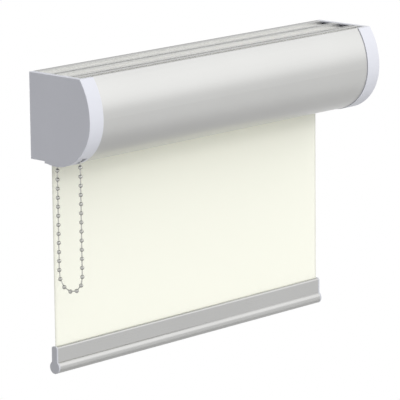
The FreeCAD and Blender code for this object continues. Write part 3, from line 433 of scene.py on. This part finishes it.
# Painted shade: the colour in the hollows of the weave.
CLOTH_HOLLOW_PAINTED_SHADE = (0.851, 0.853, 0.738)
CLOTH_LIGHT_FROM = 0.45      # the height in the weave from which the cloth is at its lightest
CLOTH_ROUGHNESS = 0.85
CLOTH_SHINE = 0.25
CLOTH_SHEEN = 0.15
SHEEN_ROUGHNESS = 0.5
THREAD = 0.00046             # from one thread to the next
SLUB_PATTERN = {"Scale": 1.0, "Detail": 2.0}
SLUBS = (25.0, 1100.0, 1.0)  # per metre across the sheet and along it
SLUB_SHARE = 0.35
WEAVE_STRENGTH = 0.35
WEAVE_DEPTH = 0.00006
CLOTH_THICKNESS = 0.00045
TURN_STEPS = 72


def make_woven(name):
    """Plain weave on the sheet's own UV map, which is in metres: u across it, v along it."""
    material, tree, surface = new_material(name)
    surface.inputs["Roughness"].default_value = CLOTH_ROUGHNESS
    surface.inputs["Specular IOR Level"].default_value = CLOTH_SHINE
    surface.inputs["Sheen Weight"].default_value = CLOTH_SHEEN
    surface.inputs["Sheen Roughness"].default_value = SHEEN_ROUGHNESS
    flat = add_node(tree, "ShaderNodeUVMap", uv_map="sheet")
    threads = add_node(tree, "ShaderNodeMapping", {"Scale": (1.0 / THREAD, 1.0 / THREAD, 1.0)})
    wire(tree, flat, "UV", threads, "Vector")
    split = add_node(tree, "ShaderNodeSeparateXYZ")
    wire(tree, threads, "Vector", split, "Vector")
    waves = []
    rounds = []
    for axis in ("X", "Y"):
        phase = add_node(tree, "ShaderNodeMath", {1: math.pi}, operation="MULTIPLY")
        wire(tree, split, axis, phase, 0)
        wave = add_node(tree, "ShaderNodeMath", operation="SINE")
        wire(tree, phase, "Value", wave, 0)
        waves.append(wave)
        swell = add_node(tree, "ShaderNodeMath", operation="ABSOLUTE")
        wire(tree, wave, "Value", swell, 0)
        rounds.append(swell)
    over = add_node(tree, "ShaderNodeMath", operation="MULTIPLY")
    wire(tree, waves[0], "Value", over, 0)
    wire(tree, waves[1], "Value", over, 1)
    warp_on_top = add_node(tree, "ShaderNodeMath", {1: 0.0}, operation="GREATER_THAN")
    wire(tree, over, "Value", warp_on_top, 0)
    height = add_node(tree, "ShaderNodeMix")
    wire(tree, warp_on_top, "Value", height, "Factor")
    wire(tree, rounds[1], "Value", height, "A")
    wire(tree, rounds[0], "Value", height, "B")
    stretched = add_node(tree, "ShaderNodeMapping", {"Scale": SLUBS})
    wire(tree, flat, "UV", stretched, "Vector")
    slub = add_node(tree, "ShaderNodeTexNoise", SLUB_PATTERN)
    wire(tree, stretched, "Vector", slub, "Vector")
    mixed = add_node(tree, "ShaderNodeMath", {1: SLUB_SHARE}, operation="MULTIPLY_ADD")
    wire(tree, slub, "Fac", mixed, 0)
    wire(tree, height, "Result", mixed, 2)
    # The weave's hollows are painted darker than its crowns: painted shade. The slubs add the yarn's own
    # uneven tone.
    add_tint(tree, mixed, "Value", surface, CLOTH_HOLLOW_PAINTED_SHADE, CLOTH_LIGHT, (0.0, CLOTH_LIGHT_FROM))
    add_relief(tree, mixed, "Value", surface, WEAVE_STRENGTH, WEAVE_DEPTH)
    return material


def settle(piece):
    """Applies a piece's modifiers to its mesh."""
    evaluated = piece.evaluated_get(bpy.context.evaluated_depsgraph_get())
    mesh = bpy.data.meshes.new_from_object(evaluated)
    piece.modifiers.clear()
    piece.data = mesh
    mesh.name = piece.name


def make_cloth_strip(name, path, left, right, columns, swell=None):
    """A sheet that runs along a path of (y, z) points, from left to right, with its own thickness."""
    shape = bmesh.new()
    sheet_map = shape.loops.layers.uv.new("sheet")
    lengths = [0.0]
    for before, after in zip(path, path[1:]):
        lengths.append(lengths[-1] + math.dist(before, after))
    rows = []
    for y, z in path:
        row = []
        for column in range(columns + 1):
            x = left + (right - left) * column / columns
            depth = swell(x, z) if swell else 0.0
            row.append(shape.verts.new((x, y + depth, z)))
        rows.append(row)
    for number in range(len(rows) - 1):
        after = number + 1
        for column in range(columns):
            beside = column + 1
            corners = [(number, column), (number, beside), (after, beside), (after, column)]
            face = shape.faces.new([rows[at][across] for at, across in corners])
            face.smooth = True
            for loop, (at, _) in zip(face.loops, corners):
                loop[sheet_map].uv = (loop.vert.co.x, lengths[at])
    strip = show(name, keep_mesh(shape, name))
    wall = strip.modifiers.new("thickness", "SOLIDIFY")
    wall.thickness = CLOTH_THICKNESS
    wall.offset = 0.0
    settle(strip)
    return strip


def wound_path():
    """From the tube outwards, turn upon turn, to the top of the roll."""
    middle_y = (roll_low.y + roll_high.y) / 2
    middle_z = (roll_low.z + roll_high.z) / 2
    outer = (roll_high.z - roll_low.z) / 2 - CLOTH_THICKNESS / 2
    tube_low, tube_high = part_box("tube")
    inner = (tube_high.z - tube_low.z) / 2 + CLOTH_THICKNESS
    count = round((outer - inner) / CLOTH_THICKNESS * TURN_STEPS)
    points = []
    for number in range(count + 1):
        radius = inner + (outer - inner) * (number / count)
        angle = math.pi / 2 + (count - number) * 2 * math.pi / TURN_STEPS
        points.append((middle_y + radius * math.cos(angle), middle_z + radius * math.sin(angle)))
    return points


woven = make_woven("woven_cream")
roll_low, roll_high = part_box("fabric_roll")
wound = make_cloth_strip("wound_cloth", wound_path(), roll_low.x, roll_high.x, 1)
wound.data.materials.append(woven)
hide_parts("fabric_roll")
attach(wound, "roller")

# Chain clutch. Its body, core and wheel are moulded in dark nylon, and the core's square lug sits
# in the left bracket. A wrap spring of hardened wire brakes the roller.

DARK_NYLON = (0.045, 0.046, 0.050)
DARK_NYLON_ROUGHNESS = 0.42
PALE_NYLON = (0.60, 0.60, 0.58)
PALE_NYLON_ROUGHNESS = 0.5
SPRING_STEEL = (0.36, 0.36, 0.38)
SPRING_ROUGHNESS = 0.32
SPRING_LINE_DEPTH = 0.000006

clutch_nylon = make_moulded("clutch_nylon", DARK_NYLON, DARK_NYLON_ROUGHNESS)
finish_nodes(clutch_nylon, "clutch_body", "chain_wheel", "chain_guard")
plug_nylon = make_moulded("plug_nylon", PALE_NYLON, PALE_NYLON_ROUGHNESS)
finish_nodes(plug_nylon, "drive_adapter")
drawn_wire = make_aluminium("drawn_wire", SPRING_STEEL, SPRING_ROUGHNESS, SPRING_LINE_DEPTH)
finish_nodes(drawn_wire, "wrap_spring")
finish_nodes(zinc, "core_clip")

# Idler. A plug of the lighter nylon fills the roller's right end, and a steel pin reaches from it
# into the bracket. The pin's spring shortens as the pin is pushed in; its coil is made here at one length.

COIL_TURNS = 8
COIL_STEPS = 36          # for each turn
WIRE_SIDES = 12
WIRE_RADIUS = 0.0005


def make_coil(name, node):
    """A helix of round wire, closed at its ends, in the place of the spring that the node stands for."""
    low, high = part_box(node)
    axis = (low + high) / 2
    radius = (high.z - low.z) / 2 - WIRE_RADIUS
    start = low.x + WIRE_RADIUS
    length = high.x - low.x - 2 * WIRE_RADIUS
    rise = length / (2 * math.pi * COIL_TURNS)
    count = COIL_TURNS * COIL_STEPS
    shape = bmesh.new()
    rings = []
    for step in range(count + 1):
        angle = 2 * math.pi * step / COIL_STEPS
        outward = Vector((0.0, math.sin(angle), -math.cos(angle)))
        forward = Vector((rise, radius * math.cos(angle), radius * math.sin(angle))).normalized()
        across = forward.cross(outward)
        middle = Vector((start + length * step / count, axis.y, axis.z)) + radius * outward
        ring = []
        for side in range(WIRE_SIDES):
            turn = 2 * math.pi * side / WIRE_SIDES
            offset = math.cos(turn) * outward + math.sin(turn) * across
            ring.append(shape.verts.new(middle + WIRE_RADIUS * offset))
        rings.append(ring)
    for before, after in zip(rings, rings[1:]):
        for side in range(WIRE_SIDES):
            following = (side + 1) % WIRE_SIDES
            face = shape.faces.new((before[side], before[following], after[following], after[side]))
            face.smooth = True
    shape.faces.new(rings[0])
    shape.faces.new(rings[-1])
    bmesh.ops.recalc_face_normals(shape, faces=shape.faces)
    coil = show(name, keep_mesh(shape, name))
    return coil, Vector((low.x, axis.y, axis.z)), Vector((high.x, axis.y, axis.z))


finish_nodes(plug_nylon, "idler_plug", "spring_seat", "idler_bush")
finish_nodes(zinc, "idler_pin")
pin_coil, seat_end, collar_end = make_coil("pin_coil", "idler_spring")
pin_coil.data.materials.append(drawn_wire)
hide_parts("idler_spring")
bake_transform(pin_coil)

# Ball chain. Balls of plated steel are crimped round short wire links into an endless loop. It
# lies in the wheel's pockets, and hangs in two strands down to its free bend.

BALL_RADIUS = 0.0022
BALL_PITCH = 0.0095
BALL_SEGMENTS = 24
BALL_RINGS = 18
LINK_RADIUS = 0.0006
LINK_SIDES = 12
WHEEL_POCKETS = 11
STRAND_PITCHES = 17      # balls in each straight strand
CHAIN_PHASE = 0.853      # pitches from the front of the wheel down to the first ball
CHROME = (0.505, 0.505, 0.480)
# Painted reflection: a dark edge tint that darkens the balls' rims.
PAINTED_RIM_REFLECTION = (0.12, 0.115, 0.10)
CHROME_ROUGHNESS = 0.15
MARK_PATTERN = {"Scale": 900.0, "Detail": 2.0}
MARK_SHADE = 0.9
MARK_GLOSS = 0.04


def middle_of(node):
    low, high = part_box(node)
    return (low + high) / 2


def loop_point(place, axis):
    """The middle of a ball, by its place along the loop in pitches from the front of the wheel."""
    radius = BALL_PITCH / (2 * math.sin(math.pi / WHEEL_POCKETS))
    bend = WHEEL_POCKETS / 2
    if place < STRAND_PITCHES:
        return axis + Vector((0, -radius, -place * BALL_PITCH))
    if place < STRAND_PITCHES + bend:
        angle = (place - STRAND_PITCHES) * 2 * math.pi / WHEEL_POCKETS
        fall = STRAND_PITCHES * BALL_PITCH + radius * math.sin(angle)
        return axis + Vector((0, -radius * math.cos(angle), -fall))
    if place < 2 * STRAND_PITCHES + bend:
        return axis + Vector((0, radius, (place - 2 * STRAND_PITCHES - bend) * BALL_PITCH))
    angle = (place - 2 * STRAND_PITCHES - bend) * 2 * math.pi / WHEEL_POCKETS
    return axis + Vector((0, radius * math.cos(angle), radius * math.sin(angle)))


def make_loop(name):
    """A closed line of points, one at the middle of each ball."""
    count = 2 * STRAND_PITCHES + WHEEL_POCKETS
    axis = middle_of("chain_wheel")
    axis.x = middle_of("chain_balls").x
    points = [loop_point((number + CHAIN_PHASE) % count, axis) for number in range(count)]
    edges = [(number, (number + 1) % count) for number in range(count)]
    mesh = bpy.data.meshes.new(name)
    mesh.from_pydata(points, edges, [])
    run = mesh.attributes.new("run", "FLOAT_VECTOR", "POINT")
    for number, entry in enumerate(run.data):
        entry.vector = (points[(number + 1) % count] - points[number - 1]).normalized()
    return show(name, mesh)


def flat_height():
    """How far a ball's flats, where its links come out, lie from its middle."""
    return math.sqrt(BALL_RADIUS ** 2 - LINK_RADIUS ** 2)


def start_tree(name, sizes):
    """A node tree with a named input for each size, its two ends, and the sizes by identifier."""
    tree = bpy.data.node_groups.new(name, "GeometryNodeTree")
    tree.interface.new_socket(name="Geometry", in_out="INPUT", socket_type="NodeSocketGeometry")
    inputs = {}
    for size_name, size in sizes.items():
        socket = tree.interface.new_socket(name=size_name, in_out="INPUT", socket_type="NodeSocketFloat")
        inputs[socket.identifier] = size
    tree.interface.new_socket(name="Geometry", in_out="OUTPUT", socket_type="NodeSocketGeometry")
    return tree, tree.nodes.new("NodeGroupInput"), tree.nodes.new("NodeGroupOutput"), inputs


def end_tree(tree, source, output, end, material):
    """Makes what repeats real and gives it its material."""
    real = add_node(tree, "GeometryNodeRealizeInstances")
    wire(tree, source, output, real, "Geometry")
    coated = add_node(tree, "GeometryNodeSetMaterial", {"Material": material})
    wire(tree, real, "Geometry", coated, "Geometry")
    wire(tree, coated, "Geometry", end, "Geometry")


def make_ball_tree(material):
    """Puts a ball with two flats at every point of the loop, turned along the chain."""
    sizes = {"Ball Radius": BALL_RADIUS, "Flat Height": flat_height()}
    tree, start, end, inputs = start_tree("balls_on_loop", sizes)
    ball = add_node(tree, "GeometryNodeMeshUVSphere", {"Segments": BALL_SEGMENTS, "Rings": BALL_RINGS})
    wire(tree, start, "Ball Radius", ball, "Radius")
    place = add_node(tree, "GeometryNodeInputPosition")
    parts = add_node(tree, "ShaderNodeSeparateXYZ")
    wire(tree, place, "Position", parts, "Vector")
    lowest = add_node(tree, "ShaderNodeMath", {1: -1.0}, operation="MULTIPLY")
    wire(tree, start, "Flat Height", lowest, 0)
    level = add_node(tree, "ShaderNodeClamp")
    wire(tree, parts, "Z", level, "Value")
    wire(tree, lowest, "Value", level, "Min")
    wire(tree, start, "Flat Height", level, "Max")
    pressed = add_node(tree, "ShaderNodeCombineXYZ")
    wire(tree, parts, "X", pressed, "X")
    wire(tree, parts, "Y", pressed, "Y")
    wire(tree, level, "Result", pressed, "Z")
    shaped = add_node(tree, "GeometryNodeSetPosition")
    wire(tree, ball, "Mesh", shaped, "Geometry")
    wire(tree, pressed, "Vector", shaped, "Position")
    smooth = add_node(tree, "GeometryNodeSetShadeSmooth")
    wire(tree, shaped, "Geometry", smooth, "Geometry")
    along = add_node(tree, "GeometryNodeInputNamedAttribute", {"Name": "run"}, data_type="FLOAT_VECTOR")
    turned = add_node(tree, "FunctionNodeAlignRotationToVector", axis="Z")
    wire(tree, along, "Attribute", turned, "Vector")
    put = add_node(tree, "GeometryNodeInstanceOnPoints")
    wire(tree, start, "Geometry", put, "Points")
    wire(tree, smooth, "Geometry", put, "Instance")
    wire(tree, turned, "Rotation", put, "Rotation")
    end_tree(tree, put, "Instances", end, material)
    return tree, inputs


def make_link_tree(material):
    """Sweeps a round wire along every edge of the loop."""
    tree, start, end, inputs = start_tree("links_on_loop", {"Wire Radius": LINK_RADIUS})
    apart = add_node(tree, "GeometryNodeSplitEdges")
    wire(tree, start, "Geometry", apart, "Mesh")
    lines = add_node(tree, "GeometryNodeMeshToCurve")
    wire(tree, apart, "Mesh", lines, "Mesh")
    circle = add_node(tree, "GeometryNodeCurvePrimitiveCircle", {"Resolution": LINK_SIDES})
    wire(tree, start, "Wire Radius", circle, "Radius")
    swept = add_node(tree, "GeometryNodeCurveToMesh", {"Fill Caps": True})
    wire(tree, lines, "Curve", swept, "Curve")
    wire(tree, circle, "Curve", swept, "Profile Curve")
    end_tree(tree, swept, "Mesh", end, material)
    return tree, inputs


def grow(piece, tree, inputs):
    """Runs a node tree on a piece and keeps the result as its plain mesh."""
    grown = piece.modifiers.new(tree.name, "NODES")
    grown.node_group = tree
    for identifier, content in inputs.items():
        grown[identifier] = content
    settle(piece)


def make_plated(name):
    """Bright plating with faint polishing marks, and a dark edge tint that paints a darker reflection
    where it is seen edge on.
    """
    material, tree, surface = new_material(name)
    surface.inputs["Metallic"].default_value = 1.0
    surface.inputs["Specular Tint"].default_value = (*PAINTED_RIM_REFLECTION, 1.0)
    place = add_node(tree, "ShaderNodeTexCoord")
    marks = add_node(tree, "ShaderNodeTexNoise", MARK_PATTERN)
    wire(tree, place, "Object", marks, "Vector")
    add_tint(tree, marks, "Fac", surface, shaded(CHROME, MARK_SHADE), CHROME)
    add_polish(tree, marks, "Fac", surface, CHROME_ROUGHNESS, MARK_GLOSS)
    return material


plated = make_plated("plated_steel")
chain_beads = make_loop("chain_beads")
grow(chain_beads, *make_ball_tree(plated))
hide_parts("chain_balls")
chain_wires = make_loop("chain_wires")
grow(chain_wires, *make_link_tree(plated))
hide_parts("chain_links")
for piece in (chain_beads, chain_wires):
    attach(piece, "cassette")

# Hanging cloth. The sheet leaves the back of the roll, hangs straight by the bar's weight and ends
# in the bottom bar. Between the two it has the faint ripples of cloth that was rolled up.

HANG_ROWS = 84
HANG_COLUMNS = 96
WRAP_ANGLE = math.radians(40)
WRAP_STEPS = 16
RIPPLE_DEPTH = 0.00022
RIPPLES = (              # across and down are in radians for each metre
    {"across": 31.0, "down": 0.0, "phase": 0.8, "share": 0.6},
    {"across": 67.0, "down": 9.0, "phase": 0.0, "share": 0.4},
)

roll_middle_level = (roll_low.z + roll_high.z) / 2
bar_top_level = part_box("bar_profile")[1].z
drop_low, drop_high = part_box("fabric_drop")


def hanging_path():
    """Round the upper back of the roll and straight down, as (y, z) points."""
    roll_middle = (roll_low + roll_high) / 2
    plane = (drop_low.y + drop_high.y) / 2
    away = plane - roll_middle.y
    close = (roll_high.z - roll_low.z) / 2 + CLOTH_THICKNESS / 2
    points = []
    for number in range(WRAP_STEPS):
        share = 1 - number / WRAP_STEPS
        angle = WRAP_ANGLE * share
        radius = away + (close - away) * min(1.0, 2 * share)
        points.append((roll_middle.y + radius * math.cos(angle), roll_middle.z + radius * math.sin(angle)))
    for number in range(HANG_ROWS + 1):
        points.append((plane, drop_high.z + (drop_low.z - drop_high.z) * number / HANG_ROWS))
    return points


def hanging_swell(x, z):
    """Depth of the cloth's faint ripples, none where the roll or the bar holds it."""
    if z >= roll_middle_level or z <= bar_top_level:
        return 0.0
    hold = math.sin(math.pi * (roll_middle_level - z) / (roll_middle_level - bar_top_level))
    wave = 0.0
    for ripple in RIPPLES:
        turn = x * ripple["across"] + z * ripple["down"] + ripple["phase"]
        wave += math.sin(turn) * ripple["share"]
    return RIPPLE_DEPTH * hold * wave


path = hanging_path()
hanging = make_cloth_strip("hanging_cloth", path, drop_low.x, drop_high.x, HANG_COLUMNS, hanging_swell)
hanging.data.materials.append(woven)
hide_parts("fabric_drop")
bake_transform(hanging)

# Bottom bar. A keyhole-shaped extrusion keeps the cloth straight, and a slotted strip holds the
# cloth's hem inside it. Small plugged caps of grey plastic close its ends.

BAR_SKIN = (0.500, 0.500, 0.492)
BAR_SKIN_ROUGHNESS = 0.30
BAR_CAP_GREY = (0.545, 0.553, 0.594)
BAR_CAP_ROUGHNESS = 0.45

finish_nodes(make_aluminium("bar_skin", BAR_SKIN, BAR_SKIN_ROUGHNESS), "bar_profile")
finish_nodes(clear_strip, "bar_strip")
bar_cap_plastic = make_moulded("bar_cap_moulding", BAR_CAP_GREY, BAR_CAP_ROUGHNESS)
finish_nodes(bar_cap_plastic, "bar_cap_left", "bar_cap_right")
